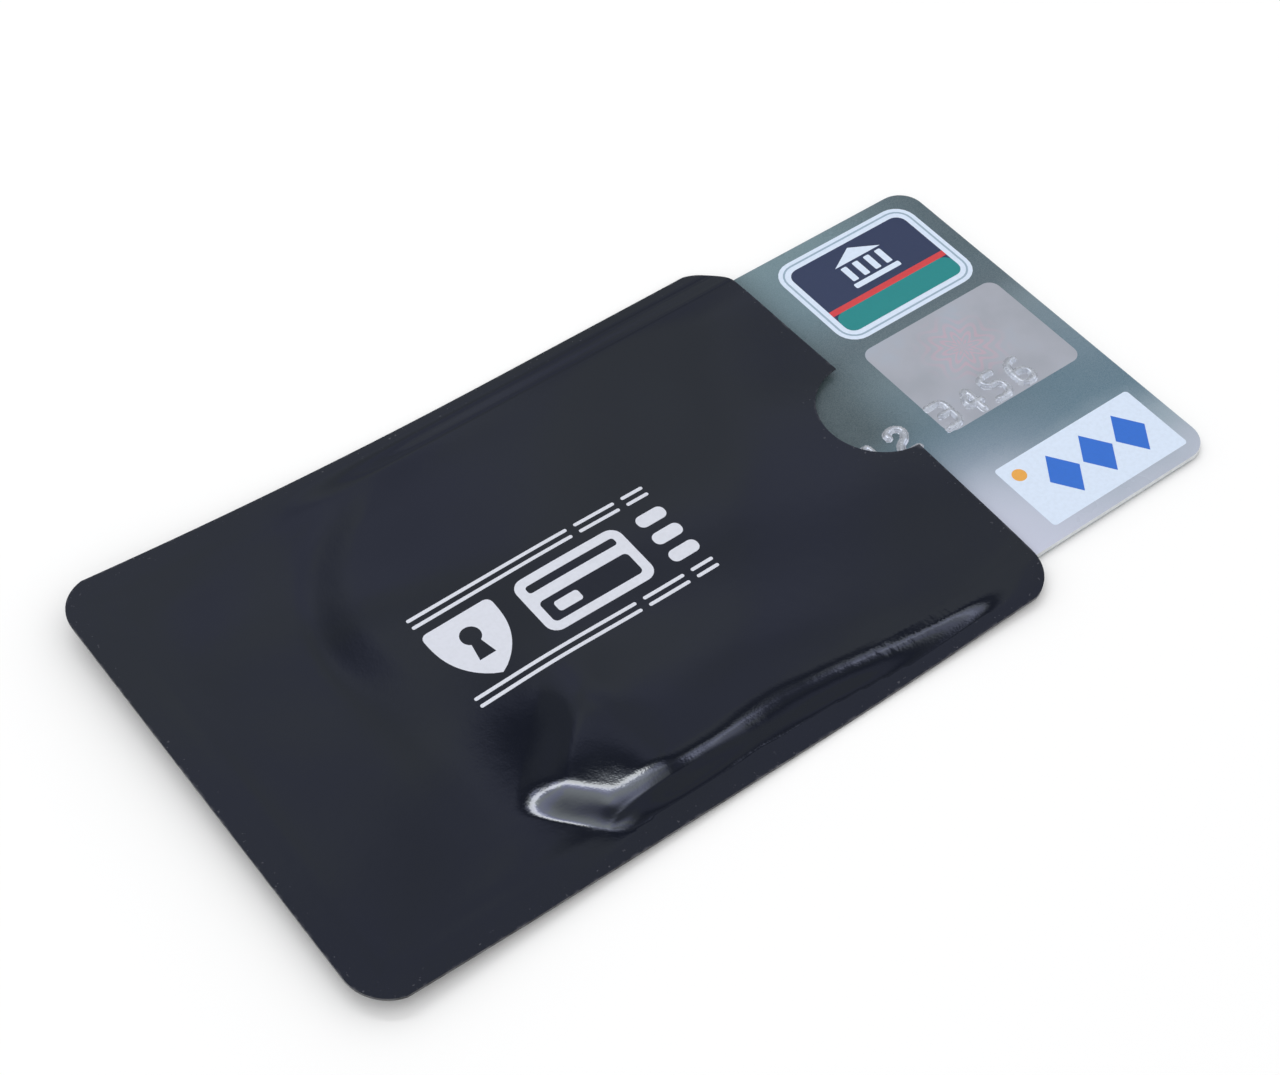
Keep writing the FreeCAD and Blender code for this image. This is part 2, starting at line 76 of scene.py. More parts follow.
STEEPEST_EASE = 1.5
FAR_AWAY = 1e9


def ease(v, start, end):
    """Smooth step from 0 at start to 1 at end."""
    t = np.clip((v - start) / (end - start), 0.0, 1.0)
    return t * t * (3.0 - 2.0 * t)


def soft_positive(v, width):
    """Near v where v is well above zero and near zero below, with a round turn."""
    return 0.5 * (v + np.sqrt(v * v + width * width))


def smooth_curve(places, values, at):
    """Cubic curve through the given values, with slopes from their neighbours."""
    places = np.asarray(places)
    values = np.asarray(values)
    slopes = np.gradient(values, places)
    k = np.clip(np.searchsorted(places, at) - 1, 0, len(places) - 2)
    gap = places[k + 1] - places[k]
    t = np.clip((at - places[k]) / gap, 0.0, 1.0)
    first = 2 * t**3 - 3 * t**2 + 1
    turn_in = t**3 - 2 * t**2 + t
    turn_out = t**3 - t**2
    ends = first * values[k] + (1 - first) * values[k + 1]
    return ends + gap * (turn_in * slopes[k] + turn_out * slopes[k + 1])


def line_distance(places, line):
    """Distance from each place to a line of points."""
    best = np.full(len(places), FAR_AWAY)
    for a, b in zip(line, line[1:]):
        start = np.array(a)
        side = np.array(b) - start
        t = np.clip(((places - start) @ side) / max(side @ side, 1e-12), 0, 1)
        best = np.minimum(best, np.linalg.norm(places - start - t[:, None] * side, axis=1))
    return best


# Form of the sleeve's films

# Heights of the turned-up rim, and the shares of the length at which it starts or ends
CURL_CLOSED_NEAR = 1.65
CURL_CLOSED_FAR = 3.2
CURL_END_NEAR = 0.45
CURL_MOUTH_NEAR = 1.0
CURL_MOUTH_FAR = 0.1
CURL_SHARE_NEAR = 0.72
CURL_SHARE_FAR = 0.62
CURL_SHARE_END = 0.25
CURL_SHARE_MOUTH = 0.62

# Along the width: where the front film leaves the empty end and where it is up on the card
RAMP_Y = (-31.5, -26.0, -20.0, -12.0, -7.0, 0.0, 8.0, 17.0, 26.0, 31.5)
RAMP_FOOT = (-14.0, -17.5, -22.0, -23.5, -25.5, -27.5, -28.5, -24.5, -16.0, -13.0)
RAMP_HEAD = (-6.0, -4.0, -0.5, -4.0, -5.0, -1.0, 2.0, 3.0, 2.0, 2.0)
CREASE_RISE = 0.36
CREASE_WIDTH = 9.5
CREASE_STARTS = (-8, 15)
CREASE_STOPS = (29, 21)

# The swell over the card's inner end, which reaches further towards the mouth
SWELL_RISE = 0.30
SWELL_CENTRE = (-7.0, -15.0)
SWELL_REACH_INNER = 9.0
SWELL_REACH_MOUTH = 14.0
SWELL_REACH_ACROSS = 9.0

# The fold over the card's inner near corner: a tongue from its root at the seal to its tip
FOLD_ROOT = (-10.6, -27.6)
FOLD_TIP = (-18.0, -19.6)
FOLD_WIDTH = 5.6
FOLD_RISE = 0.66
FOLD_FULL = 7.5
FOLD_END = 13.0
FOLD_TAIL = 9.0
KNOT = (-12.6, -25.6)
KNOT_RADIUS = 0.9
KNOT_RISE = 0.07

# The pleat that runs from the fold's root along the near side
PLEAT_X = (-14.5, -12.5, -10.0, -6.0, 0.0, 6.0)
PLEAT_Y = (-27.6, -26.9, -26.6, -26.5, -26.3, -26.2)
PLEAT_RISE = 0.05
PLEAT_WIDTH = 0.32
PLEAT_STARTS = (-14.5, -12.0)
PLEAT_STOPS = (5.0, -3.0)

# Along the length: where the near side of the pocket breaks over the card's edge,
# and where it meets the seal
WALL_X = (-45.5, -22.0, -17.5, -13.5, -9.0, 0.0, 8.0, 16.0, 24.0, 36.0, 45.5)
WALL_CREST = (22.0, 22.0, 24.0, 25.4, 25.2, 25.0, 24.9, 25.8, 26.6, 26.9, 24.5)
WALL_FOOT = (31.0, 31.0, 30.2, 29.4, 28.8, 28.6, 28.6, 28.9, 29.7, 30.0, 31.0)
# Height, rate and start of each part of the crest's sway
WALL_SWAY = ((0.012, 1.1, 0), (0.008, 2.3, 1))
ROLL_LENGTH = 1.4
ROLL_DROP = 0.045
FOOT_SLOPE = 1.0

# Levels of the front film
EMPTY_LEVEL = 1.245
EMPTY_CROWN = 0.335
CARD_LEVEL = 1.42
CARD_CROWN = 0.72
NEAR_LIFT = 0.34
NEAR_SINK = 0.12
NEAR_LIFT_ACROSS = (6, 26)
NEAR_LIFT_STARTS = (-13, -4)
NEAR_LIFT_STOPS = (10, 40)
LONG_RISE = 0.08
LONG_WAVES = ((0.8, 0.5, 41, 1.0), (-0.4, 0.9, 33, 0.3))
SHORT_RISE = 0.05
SHORT_WAVES = ((0.3, -0.95, 23, 2.1), (0.9, 0.2, 27, 0.7))
WAVES_ACROSS = (29, 22)
WAVES_ALONG = (-43, -36)
RIM_ROUND = 0.15
SEAL_LINE_DEPTH = 0.012
SEAL_LINE_INSET = 4.3
SEAL_LINE_WIDTH = 0.9

# The pocket's floor and walls
PATH_HALF = 27.05
FLOOR_HALF = 27.15
FLOOR_END = -40.6
BACK_WALL_SLOPE = 1.43
BACK_WALL_SHORTEST = 0.3
FAR_WALL_TOP = 26.6
FAR_WALL_FOOT = 30.4
END_WALL = (-42.4, -40.2)


def curl(x, y):
    """How far the sealed rim stands up off the table."""
    t = (x + HALF_LENGTH) / (2 * HALF_LENGTH)
    mouth = np.clip((t - CURL_SHARE_MOUTH) / (1 - CURL_SHARE_MOUTH), 0, None)
    near = CURL_CLOSED_NEAR * np.clip(1 - t / CURL_SHARE_NEAR, 0, None) ** 1.3
    near = near + CURL_MOUTH_NEAR * mouth ** 1.4
    near = near + CURL_END_NEAR * np.clip(1 - t / CURL_SHARE_END, 0, None) ** 2
    far = CURL_CLOSED_FAR * np.clip(1 - t / CURL_SHARE_FAR, 0, None) ** 2 + CURL_MOUTH_FAR * mouth ** 2
    return near + (far - near) * (y + HALF_WIDTH) / (2 * HALF_WIDTH)


def crossed_waves(x, y, pair):
    """Two waves multiplied, each given by its direction, length and start."""
    first, second = (np.sin(2 * np.pi * (ax * x + ay * y) / length + start) for ax, ay, length, start in pair)
    return first * second


def waves(x, y):
    """Slack in the film, a few hundredths of a millimetre."""
    slack = LONG_RISE * crossed_waves(x, y, LONG_WAVES) + SHORT_RISE * crossed_waves(x, y, SHORT_WAVES)
    return slack * ease(np.abs(y), *WAVES_ACROSS) * ease(x, *WAVES_ALONG)


def corner_swell(x, y):
    """The film stands higher where it is pushed up over the card's inner end."""
    reach = np.where(x < SWELL_CENTRE[0], SWELL_REACH_INNER, SWELL_REACH_MOUTH)
    along = (x - SWELL_CENTRE[0]) / reach
    across = (y - SWELL_CENTRE[1]) / SWELL_REACH_ACROSS
    return SWELL_RISE * np.exp(-(along**2) - across**2)


def corner_fold(x, y):
    """A short steep fold: a slope across its axis, which ends in a round tip and sinks away behind."""
    root = np.array(FOLD_ROOT)
    axis = np.array(FOLD_TIP) - root
    axis = axis / np.hypot(*axis)
    along = (x - root[0]) * axis[0] + (y - root[1]) * axis[1]
    across = (x - root[0]) * axis[1] - (y - root[1]) * axis[0]
    t = np.clip(across / FOLD_WIDTH + 0.5, 0, 1)
    slope = t**2 * (6 - 8 * t + 3 * t**2)
    behind = np.clip(across - FOLD_WIDTH / 2, 0, None)
    fold = FOLD_RISE * slope * np.exp(-((behind / FOLD_TAIL) ** 2)) * ease(along, FOLD_END, FOLD_FULL)
    from_knot = ((x - KNOT[0]) ** 2 + (y - KNOT[1]) ** 2) / KNOT_RADIUS**2
    return fold + KNOT_RISE * np.exp(-from_knot)


def pleat(x, y):
    """A fine ridge below the crest of the near side, where the slack at the fold runs out."""
    from_line = (y - smooth_curve(PLEAT_X, PLEAT_Y, x)) / PLEAT_WIDTH
    return PLEAT_RISE * np.exp(-(from_line**2)) * ease(x, *PLEAT_STARTS) * ease(x, *PLEAT_STOPS)


def near_wall(x, y):
    """1 on the pocket and 0 on the near seal: a soft roll, a crisp break, then a slope down."""
    sway = sum(size * np.sin(rate * x + start) for size, rate, start in WALL_SWAY)
    crest = smooth_curve(WALL_X, WALL_CREST, x) + sway
    foot = smooth_curve(WALL_X, WALL_FOOT, x)
    run = foot - crest
    roll = np.clip((-y - crest + ROLL_LENGTH) / ROLL_LENGTH, 0, 1) ** 2
    down = np.clip((-y - crest) / run, 0, 1)
    start = 2 * ROLL_DROP / ROLL_LENGTH * run / (1 - ROLL_DROP)
    fall = start * down + (1 - start) * down**3 * (4 - FOOT_SLOPE - (3 - FOOT_SLOPE) * down)
    return 1 - ROLL_DROP * roll - (1 - ROLL_DROP) * fall


def front_height(x, y):
    """Outer face of the front panel."""
    rim = 2 * WALL + curl(x, y)
    crown = 1 - (y / PATH_HALF) ** 2
    empty = EMPTY_LEVEL + EMPTY_CROWN * crown
    lift = NEAR_LIFT * ease(x, *NEAR_LIFT_STARTS) - (NEAR_LIFT + NEAR_SINK) * ease(x, *NEAR_LIFT_STOPS)
    near_side = ease(-y, *NEAR_LIFT_ACROSS) * lift
    on_card = CARD_LEVEL + CARD_CROWN * crown + near_side + corner_swell(x, y)
    foot = smooth_curve(RAMP_Y, RAMP_FOOT, y)
    rise = ease(x, foot, smooth_curve(RAMP_Y, RAMP_HEAD, y))
    crease = CREASE_RISE * ease(y, *CREASE_STARTS) * ease(y, *CREASE_STOPS)
    first_rise = crease * ease(x, foot, foot + CREASE_WIDTH)
    top = empty + (on_card - empty - crease) * rise + first_rise + corner_fold(x, y)
    far = ease(y, FAR_WALL_FOOT, FAR_WALL_TOP)
    pocket = np.where(y < 0, near_wall(x, y), far) * ease(x, *END_WALL)
    edge = np.minimum(HALF_WIDTH - np.abs(y), x + HALF_LENGTH)
    seal_line = SEAL_LINE_DEPTH * np.exp(-(((edge - SEAL_LINE_INSET) / SEAL_LINE_WIDTH) ** 2))
    return rim + soft_positive(top - rim, RIM_ROUND) * pocket + waves(x, y) + pleat(x, y) - seal_line


def back_height(x, y):
    """Outer face of the back panel: flat under the card's path, then sloped walls up to the rim."""
    rim = curl(x, y)
    past = np.maximum(np.abs(y) - FLOOR_HALF, FLOOR_END - x)
    return rim * ease(past, 0, np.maximum(STEEPEST_EASE * rim / BACK_WALL_SLOPE, BACK_WALL_SHORTEST))


def normals_of(height, x, y):
    """Upward unit normals of a height function."""
    step = 0.02
    gx = (height(x + step, y) - height(x - step, y)) / (2 * step)
    gy = (height(x, y + step) - height(x, y - step)) / (2 * step)
    upward = np.stack([-gx, -gy, np.ones_like(gx)], 1)
    return upward / np.linalg.norm(upward, axis=1, keepdims=True)


# Outlines

OUTLINE_STEP = 1.0


def arc(cx, cy, radius, start, end, count):
    """Points on an arc, angles in degrees."""
    angles = np.radians(np.linspace(start, end, count))
    return [(cx + radius * math.cos(a), cy + radius * math.sin(a)) for a in angles]


def rounded(x0, y0, x1, y1, radius, count=7):
    """Outline of a rectangle with round corners."""
    return (
        arc(x1 - radius, y0 + radius, radius, -90, 0, count)
        + arc(x1 - radius, y1 - radius, radius, 0, 90, count)
        + arc(x0 + radius, y1 - radius, radius, 90, 180, count)
        + arc(x0 + radius, y0 + radius, radius, 180, 270, count)
    )


def circle(cx, cy, radius, count=32):
    """Outline of a disc."""
    return arc(cx, cy, radius, 0, 360 * (count - 1) / count, count)


def divided(loop, longest):
    """The same closed outline with no side longer than the given length."""
    points = []
    for (ax, ay), (bx, by) in zip(loop, loop[1:] + loop[:1]):
        parts = max(1, math.ceil(math.hypot(bx - ax, by - ay) / longest))
        for k in range(parts):
            points.append((ax + (bx - ax) * k / parts, ay + (by - ay) * k / parts))
    return points


def panel_outline(with_notch):
    """Die-cut outline of one panel, the mouth at +X."""
    turn = 2 * math.atan2(CORNER_ACROSS, CORNER_ALONG)
    radius = CORNER_ACROSS / math.sin(turn)
    corner = arc(HALF_LENGTH - radius, HALF_WIDTH - CORNER_ACROSS, radius, 0, 180 - math.degrees(turn), 13)
    mouth_far = corner
    closed_far = [(-x, y) for x, y in corner[::-1]]
    closed_near = [(-x, -y) for x, y in corner]
    mouth_near = [(x, -y) for x, y in corner[::-1]]
    notch = []
    if with_notch:
        centre = HALF_LENGTH - NOTCH_DEPTH + NOTCH_RADIUS
        lean = math.degrees(math.acos((HALF_LENGTH - centre) / NOTCH_RADIUS))
        notch = arc(centre, 0, NOTCH_RADIUS, 360 - lean, lean, 45)
    return divided(mouth_near + notch + mouth_far + closed_far + closed_near, OUTLINE_STEP)


# Meshes

# Share of a grid's step that its points keep clear of the outline
GRID_CLEAR = 0.3
PRINT_STEP = 0.6


def inside(points, loops):
    """Even and odd test of points against closed outlines."""
    x, y = points[:, 0], points[:, 1]
    odd = np.zeros(len(points), bool)
    for loop in loops:
        for (ax, ay), (bx, by) in zip(loop, loop[1:] + loop[:1]):
            if ay == by:
                continue
            spans = (ay > y) != (by > y)
            odd ^= spans & (x < ax + (bx - ax) * (y - ay) / (by - ay))
    return odd


def edge_distance(points, loops):
    """Distance from each point to the nearest outline."""
    return np.min([line_distance(points, loop + loop[:1]) for loop in loops], axis=0)


def triangulated(loops, grid_x=(), grid_y=()):
    """Flat triangle mesh of the area within outlines, with grid points inside."""
    points = []
    sides = []
    for loop in loops:
        first = len(points)
        points += [Vector(p) for p in loop]
        sides += [(first + k, first + (k + 1) % len(loop)) for k in range(len(loop))]
    if len(grid_x):
        gx, gy = np.meshgrid(grid_x, grid_y)
        grid = np.stack([gx.ravel(), gy.ravel()], 1)
        clear = GRID_CLEAR * min(np.diff(grid_x).min(), np.diff(grid_y).min())
        grid = grid[inside(grid, loops)]
        grid = grid[edge_distance(grid, loops) > clear]
        points += [Vector(p) for p in grid]
    flat, _, faces, _, _, _ = delaunay_2d_cdt(points, sides, [], 0, 1e-5)
    flat = np.array([(p.x, p.y) for p in flat])
    faces = np.array(faces)
    return flat, faces[inside(flat[faces].mean(axis=1), loops)]


def solid(name, flat, faces, low, high, rim=None, normals=None):
    """Closed mesh between two height lists over one flat triangle mesh, shaded by the given normals."""
    count = len(flat)
    sides = {}
    for a, b, c in faces.tolist():
        for side in ((a, b), (b, c), (c, a)):
            if side[::-1] in sides:
                del sides[side[::-1]]
            else:
                sides[side] = True
    verts = np.concatenate([np.column_stack([flat, high]), np.column_stack([flat, low])]) * MM
    walls = [(a + count, b + count, b, a) for a, b in sides]
    under = faces[:, ::-1] + count
    mesh = bpy.data.meshes.new(name)
    mesh.from_pydata(verts.tolist(), [], faces.tolist() + under.tolist() + walls)
    mesh.polygons.foreach_set("use_smooth", [True] * len(mesh.polygons))
    ends = np.empty(2 * len(mesh.edges), int)
    mesh.edges.foreach_get("vertices", ends)
    rims = {tuple(sorted(s)) for s in sides}
    rims |= {(a + count, b + count) for a, b in rims}
    sharp = [tuple(sorted(e)) in rims for e in ends.reshape(-1, 2).tolist()]
    mesh.attributes.new("sharp_edge", "BOOLEAN", "EDGE").data.foreach_set("value", sharp)
    if rim is not None:
        both = np.concatenate([rim, rim]).astype(np.float32)
        mesh.attributes.new("rim", "FLOAT", "POINT").data.foreach_set("value", both)
    if normals is not None:
        on_walls = np.zeros((4 * len(walls), 3))
        shading = np.concatenate([normals[faces.ravel()], -normals[faces[:, ::-1].ravel()], on_walls])
        mesh.normals_split_custom_set(shading.tolist())
    obj = bpy.data.objects.new(name, mesh)
    bpy.context.scene.collection.objects.link(obj)
    return obj


def finish_piece(obj, body, slot, material, *nodes):
    """Rides, material, and the CAD nodes that the piece stands for. The slot argument is not used."""
    obj.data.materials.append(material)
    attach(obj, body)
    if nodes:
        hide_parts(*nodes)
    return obj


def card_print(name, loops, material, level=0):
    """Flat ink on the card's front, one ink thickness for each level."""
    flat, faces = triangulated(loops)
    low = np.full(len(flat), CARD_TOP + level * INK)
    finish_piece(solid(name, flat, faces, low, low + INK), "card", "card_laminate", material)


def film_print(name, loops, material):
    """Ink on the front film, following its form."""
    corners = np.concatenate([np.array(loop) for loop in loops])
    lowest, highest = corners.min(axis=0), corners.max(axis=0)
    lines = [np.arange(a, b, PRINT_STEP) for a, b in zip(lowest + PRINT_STEP / 2, highest)]
    flat, faces = triangulated([divided(loop, PRINT_STEP) for loop in loops], *lines)
    x, y = flat[:, 0], flat[:, 1]
    low = front_height(x, y)
    made = solid(name, flat, faces, low, low + INK, normals=normals_of(front_height, x, y))
    finish_piece(made, "sleeve", "writing_panel", material)


# Materials

def srgb(red, green, blue):
    """Linear colour from 0 to 255 screen values."""
    values = [v / 255 for v in (red, green, blue)]
    linear = [v / 12.92 if v <= 0.04045 else ((v + 0.055) / 1.055) ** 2.4 for v in values]
    return (*linear, 1.0)


class Nodes:
    """A node tree, with short calls for its nodes."""

    def __init__(self, tree):
        self.tree = tree

    def node(self, kind, **settings):
        made = self.tree.nodes.new(kind)
        for key, value in settings.items():
            setattr(made, key, value)
        return made

    def link(self, source, target):
        self.tree.links.new(source, target)

    def set(self, socket, value):
        """A plain value, or another node's output."""
        if hasattr(value, "is_linked"):
            self.link(value, socket)
        else:
            socket.default_value = value

    def math(self, operation, a, b=0.0, c=0.0):
        made = self.node("ShaderNodeMath", operation=operation)
        for socket, value in zip(made.inputs, (a, b, c)):
            self.set(socket, value)
        return made.outputs[0]

    def product(self, first, *others):
        """All the values multiplied."""
        for other in others:
            first = self.math("MULTIPLY", first, other)
        return first

    def between(self, value, low, high, start=0.0, end=1.0):
        """Smooth change from start to end as value goes from low to high."""
        made = self.node("ShaderNodeMapRange", interpolation_type="SMOOTHSTEP")
        self.set(made.inputs["Value"], value)
        for key, number in (("From Min", low), ("From Max", high), ("To Min", start), ("To Max", end)):
            made.inputs[key].default_value = number
        return made.outputs["Result"]

    def mix(self, factor, a, b, blend="MIX"):
        made = self.node("ShaderNodeMix", data_type="RGBA", blend_type=blend)
        self.set(made.inputs[0], factor)
        self.set(made.inputs[6], a)
        self.set(made.inputs[7], b)
        return made.outputs[2]


class Shader(Nodes):
    """One procedural material."""

    def __init__(self, name, **inputs):
        self.material = bpy.data.materials.new(name)
        self.material.use_nodes = True
        super().__init__(self.material.node_tree)
        self.bsdf = self.tree.nodes["Principled BSDF"]
        for key, value in inputs.items():
            self.bsdf.inputs[key.replace("_", " ")].default_value = value
        self.place = self.node("ShaderNodeTexCoord").outputs["Object"]

    def noise(self, size, detail=2.0, roughness=0.5, stretch=(1, 1, 1)):
        """Noise whose features are about size millimetres."""
        mapping = self.node("ShaderNodeMapping")
        mapping.inputs["Scale"].default_value = stretch
        self.link(self.place, mapping.inputs["Vector"])
        made = self.node("ShaderNodeTexNoise")
        made.inputs["Scale"].default_value = 1 / (size * MM)
        made.inputs["Detail"].default_value = detail
        made.inputs["Roughness"].default_value = roughness
        self.link(mapping.outputs["Vector"], made.inputs["Vector"])
        return made.outputs["Fac"]

    def ramp(self, value, stops):
        """Colours at places from 0 to 1."""
        made = self.node("ShaderNodeValToRGB")
        self.link(value, made.inputs["Fac"])
        elements = made.color_ramp.elements
        while len(elements) < len(stops):
            elements.new(1.0)
        for element, (place, colour) in zip(elements, stops):
            element.position = place
            element.color = colour
        return made.outputs["Color"]

    def axis(self, name):
        """One coordinate of the place, in millimetres."""
        parts = self.node("ShaderNodeSeparateXYZ")
        self.link(self.place, parts.inputs[0])
        return self.math("MULTIPLY", parts.outputs[name], 1 / MM)

    def from_edge(self):
        """Distance from the cut edge, in millimetres, as the mesh carries it."""
        return self.node("ShaderNodeAttribute", attribute_name="rim").outputs["Fac"]

    def bump(self, height, depth, before=None):
        """Relief of the given depth in millimetres."""
        made = self.node("ShaderNodeBump")
        made.inputs["Strength"].default_value = 1.0
        made.inputs["Distance"].default_value = depth * MM
        self.link(height, made.inputs["Height"])
        if before is not None:
            self.link(before, made.inputs["Normal"])
        self.link(made.outputs["Normal"], self.bsdf.inputs["Normal"])
        return made.outputs["Normal"]

    def colour(self, source):
        self.link(source, self.bsdf.inputs["Base Color"])

    def roughness(self, source):
        self.link(source, self.bsdf.inputs["Roughness"])


def pinched_ripples(s):
    """Short ripples across the near edge of the pocket, where the film is pinched over the card."""
    along = s.axis("X")
    across = s.axis("Y")
    lines = s.noise(0.8, 2, stretch=(1.0, 0.35, 1.0))
    stretch = s.product(s.between(along, 17, 25), s.between(along, 31, 39, 1, 0))
    band = s.product(s.between(across, -28.6, -27.6), s.between(across, -26.4, -25.6, 1, 0))
    return s.product(lines, s.product(stretch, band))


def film_material():
    """Glossy navy-black printed film with fine grain, scuffs and pale specks near its cut edges, and a patchy
    painted highlight along the cut edge itself.
    """
    s = Shader("glossy_film", IOR=1.5)
    rim = s.from_edge()
    ink = s.ramp(s.noise(22, 3), [(0.3, (0.0066, 0.0082, 0.0142, 1)), (0.7, (0.0082, 0.0100, 0.0170, 1))])
    specks = s.product(s.between(s.noise(0.45, 1), 0.70, 0.76), s.between(rim, 0.2, 2.2, 1, 0))
    # Painted highlight: a patchy pale line right along the cut edge; pale holds it together with the scuff
    # specks.
    painted_rim_highlight = s.product(s.between(s.noise(1.2, 3), 0.46, 0.72), s.between(rim, 0.0, 0.3, 0.5, 0))
    pale = s.math("MAXIMUM", s.product(specks, 0.5), painted_rim_highlight)
    s.colour(s.mix(pale, ink, (0.10, 0.10, 0.115, 1)))
    grain = s.noise(0.24, 1)
    haze = s.between(s.noise(9, 4), 0.35, 0.75, 0.05, 0.09)
    s.roughness(s.math("ADD", haze, s.product(pale, 0.25)))
    fine = s.bump(grain, 0.003)
    coarse = s.bump(s.noise(1.6, 2), 0.005, fine)
    s.bump(pinched_ripples(s), 0.02, coarse)
    return s.material


def dulled_edge(s, colour):
    """The colour, dulled towards near black in patches right at the cut edge."""
    patchy = s.between(s.noise(1.4, 3), 0.3, 0.7, 1.0, 0.75)
    darkened_edge = s.product(s.between(s.from_edge(), 0.0, 0.12, 1, 0), patchy)
    return s.mix(darkened_edge, colour, (0.012, 0.012, 0.016, 1))


def foil_material():
    """Bare aluminium foil, rolled along the sleeve."""
    s = Shader("aluminium_foil", Metallic=1.0)
    lines = s.noise(0.5, 3, 0.6, (0.08, 1, 1))
    s.colour(dulled_edge(s, s.ramp(lines, [(0.3, (0.62, 0.63, 0.65, 1)), (0.7, (0.80, 0.81, 0.82, 1))])))
    s.roughness(s.between(lines, 0.3, 0.7, 0.22, 0.38))
    s.bump(lines, 0.004)
    return s.material


def seal_material():
    """Milky heat-seal film over the foil."""
    s = Shader("seal_film", Metallic=0.55, IOR=1.49)
    cloud = s.noise(3, 4)
    s.colour(dulled_edge(s, s.ramp(cloud, [(0.3, (0.42, 0.43, 0.45, 1)), (0.7, (0.56, 0.57, 0.58, 1))])))
    s.roughness(s.between(cloud, 0.3, 0.7, 0.32, 0.48))
    s.bump(s.noise(0.4, 2), 0.004)
    return s.material


def ink_material(name, colour):
    """Screen-printed ink with slight unevenness."""
    spread = 0.05
    rough = 0.42
    s = Shader(name, IOR=1.5)
    thin = tuple(v * (1 - spread) for v in colour[:3]) + (1,)
    body = s.noise(0.5, 3)
    s.colour(s.ramp(body, [(0.3, thin), (0.6, colour)]))
    s.roughness(s.between(body, 0.3, 0.7, rough - 0.06, rough + 0.06))
    s.bump(s.noise(0.9, 2), 0.001)
    return s.material


def card_material():
    """Printed laminate: a brushed grey-green ground that pales to lavender at one corner in a painted
    reflection, with painted shade by the notch and a painted highlight along the card's outer end.
    """
    s = Shader("card_laminate", IOR=1.5)
    along = s.axis("X")
    across = s.axis("Y")
    drift = s.math("MULTIPLY_ADD", s.noise(14, 3), 10.0, -5.0)
    span = 60
    share = s.math("MULTIPLY_ADD", s.math("ADD", across, drift), 1 / span, 0.5)
    ground = s.ramp(share, [
        (0.05, srgb(174, 181, 196)),
        (0.16, srgb(144, 160, 172)),
        (0.28, srgb(86, 114, 130)),
        (0.40, srgb(84, 110, 124)),
        (0.55, srgb(92, 112, 120)),
        (0.66, srgb(78, 96, 104)),
        (0.80, srgb(96, 121, 131)),
        (0.95, srgb(104, 129, 137)),
    ])
    shade = s.product(s.between(along, 56, 74, 0, 0.8), s.between(across, 4, 18))
    deep = s.mix(shade, ground, srgb(58, 74, 82))
    # Painted shade and painted reflection of the dark sleeve: the card is darker next to the notch, by the
    # sleeve's mouth.
    inner = s.product(s.between(along, 42, 50, 0.9, 0), s.between(across, -8, -2))
    under = s.mix(inner, deep, srgb(56, 72, 76))
    # Painted reflection: the card pales to lavender towards its near corner by the sleeve.
    corner = s.product(s.between(along, 40, 66, 0.95, 0), s.between(across, -22, -5, 1, 0))
    pale = s.mix(corner, under, srgb(198, 201, 220))
    # Painted highlight: a paler blue-grey strip along the card's outer end.
    painted_edge_highlight = s.product(s.between(along, 67, 73, 0, 0.2), s.between(across, -12, -4), s.between(across, 10, 2))
    # printed: the print, with the painted shade, reflection and highlight above mixed in.
    printed = s.mix(painted_edge_highlight, pale, srgb(150, 165, 178))
    grain = s.noise(0.12, 2)
    s.colour(s.mix(s.between(grain, 0.3, 0.7, 0.0, 0.10), printed, srgb(205, 214, 216)))
    s.roughness(s.between(s.noise(6, 3), 0.3, 0.7, 0.26, 0.36))
    s.bump(grain, 0.0015)
    return s.material


def plain_material(name, dark, light, size, rough, depth, metallic=0.0, stretch=(1, 1, 1)):
    """Two near tones in a noise of the given size, with matching roughness and relief."""
    s = Shader(name, Metallic=metallic, IOR=1.5)
    body = s.noise(size, 3, 0.55, stretch)
    s.colour(s.ramp(body, [(0.3, dark), (0.7, light)]))
    s.roughness(s.between(body, 0.3, 0.7, rough - 0.06, rough + 0.06))
    s.bump(body, depth)
    return s.material


def hologram_material():
    """Stamped foil patch: pale rose-grey with a faint rosette of fine rays."""
    s = Shader("hologram_foil", Metallic=0.35, IOR=1.5)
    cx = (PATCH_LOW[0] + PATCH_HIGH[0]) / 2 / MM
    cy = (PATCH_LOW[1] + PATCH_HIGH[1]) / 2 / MM
    dx = s.math("SUBTRACT", s.axis("X"), cx)
    dy = s.math("SUBTRACT", s.axis("Y"), cy + 1.5)
    angle = s.math("ARCTAN2", dy, dx)
    reach = s.math("SQRT", s.math("ADD", s.product(dx, dx), s.product(dy, dy)))
    petals = s.math("SINE", s.product(angle, 8.0))
    wave = s.math("ADD", reach, s.product(petals, 0.7))
    rings = s.math("SINE", s.product(wave, 4.2))
    fades = s.between(reach, 2.0, 6.5, 1, 0)
    rosette = s.product(s.between(rings, -0.4, 0.9), fades)
    cloud = s.noise(5, 3)
    ground = s.ramp(cloud, [
        (0.3, srgb(172, 175, 182)),
        (0.55, srgb(178, 180, 187)),
        (0.75, srgb(176, 182, 191)),
    ])
    s.colour(s.mix(s.product(rosette, 0.6), ground, srgb(208, 172, 184)))
    s.roughness(s.between(cloud, 0.3, 0.7, 0.30, 0.40))
    s.bump(s.math("ADD", s.noise(0.15, 2), rosette), 0.002)
    return s.material


def stripe_material():
    """Black oxide stripe with faint lines along its length."""
    dark, light = (0.008, 0.008, 0.009, 1), (0.018, 0.017, 0.017, 1)
    return plain_material("stripe_oxide", dark, light, 0.6, 0.34, 0.003, stretch=(0.05, 1, 1))


